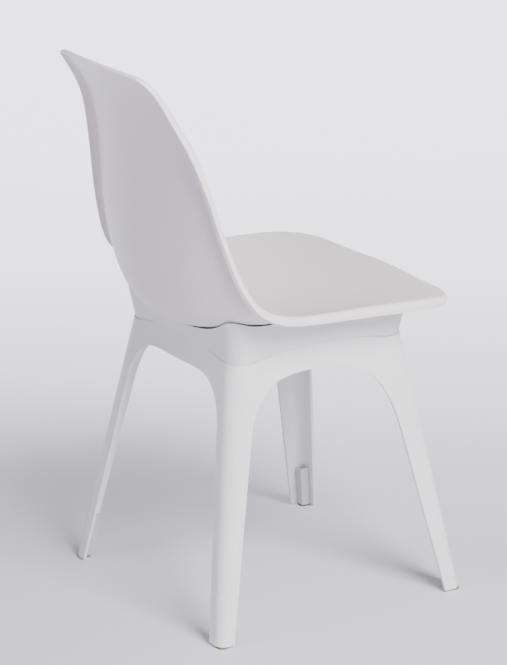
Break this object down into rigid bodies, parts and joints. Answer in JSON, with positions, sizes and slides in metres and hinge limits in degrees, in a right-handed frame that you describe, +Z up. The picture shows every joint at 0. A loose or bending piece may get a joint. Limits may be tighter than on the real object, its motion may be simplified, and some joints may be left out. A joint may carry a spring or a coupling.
{
  "type": "chair",
  "caption": "Side chair: a one-piece moulded scoop seat and back with a turned rim, on a splayed base with arched aprons and slim corner legs.",
  "frame": {"origin": "on the floor, at the middle of the chair's outer box seen from above", "axes": "+Z up, -Y towards the front edge of the seat, +X towards the sitter's left"},
  "size_m": [0.419, 0.501, 0.8118],
  "materials": {
    "shell_plastic": "satin white moulded polypropylene with a very fine mould texture",
    "frame_plastic": "satin white glass-filled moulded plastic",
    "plug_plastic": "light grey moulded plastic",
    "pad_rubber": "amber brown rubber, matt",
    "fastener_steel": "bright zinc plated steel",
    "insert_brass": "turned brass"
  },
  "bodies": {
    "root": {"seat_shell": "shell_plastic", "seat_carrier": "frame_plastic", "leg_frame": "frame_plastic", "shell_insert_front_left": "insert_brass", "shell_washer_front_left": "fastener_steel", "shell_screw_front_left": "fastener_steel", "frame_insert_front_left": "insert_brass", "frame_washer_front_left": "fastener_steel", "frame_screw_front_left": "fastener_steel", "foot_plug_front_left": "plug_plastic", "foot_pad_front_left": "pad_rubber", "shell_insert_front_right": "insert_brass", "shell_washer_front_right": "fastener_steel", "shell_screw_front_right": "fastener_steel", "frame_insert_front_right": "insert_brass", "frame_washer_front_right": "fastener_steel", "frame_screw_front_right": "fastener_steel", "foot_plug_front_right": "plug_plastic", "foot_pad_front_right": "pad_rubber", "shell_insert_rear_left": "insert_brass", "shell_washer_rear_left": "fastener_steel", "shell_screw_rear_left": "fastener_steel", "frame_insert_rear_left": "insert_brass", "frame_washer_rear_left": "fastener_steel", "frame_screw_rear_left": "fastener_steel", "foot_plug_rear_left": "plug_plastic", "foot_pad_rear_left": "pad_rubber", "shell_insert_rear_right": "insert_brass", "shell_washer_rear_right": "fastener_steel", "shell_screw_rear_right": "fastener_steel", "frame_insert_rear_right": "insert_brass", "frame_washer_rear_right": "fastener_steel", "frame_screw_rear_right": "fastener_steel", "foot_plug_rear_right": "plug_plastic", "foot_pad_rear_right": "pad_rubber"}
  },
  "joints": []
}
